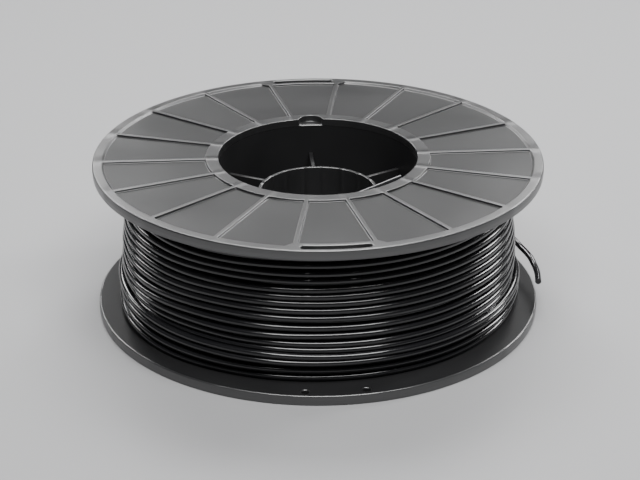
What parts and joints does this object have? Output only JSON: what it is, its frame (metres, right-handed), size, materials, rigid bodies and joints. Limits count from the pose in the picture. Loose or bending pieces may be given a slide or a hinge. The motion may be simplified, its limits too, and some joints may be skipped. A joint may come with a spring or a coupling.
{
  "type": "filament spool",
  "caption": "Flat supply spool with ribbed flanges, a webbed hub with a central bore, and a wound plastic strand whose two ends stand free.",
  "frame": {"origin": "on the spool's axis at the underside of the bottom flange", "axes": "+Z along the spool's axis, from the bottom flange to the top flange; the drive notch of each flange is near +Y"},
  "size_m": [0.2014, 0.2, 0.0706],
  "materials": {
    "spool_plastic": "satin moulded",
    "filament": "gloss extruded"
  },
  "bodies": {
    "root": {"top_flange": "spool_plastic", "bottom_flange": "spool_plastic", "drum": "spool_plastic", "bore_tube": "spool_plastic", "web_1": "spool_plastic", "web_2": "spool_plastic", "web_3": "spool_plastic", "web_4": "spool_plastic", "web_5": "spool_plastic", "web_6": "spool_plastic", "filament_winding": "filament", "filament_outer_end": "filament", "filament_start_end": "filament"}
  },
  "joints": []
}
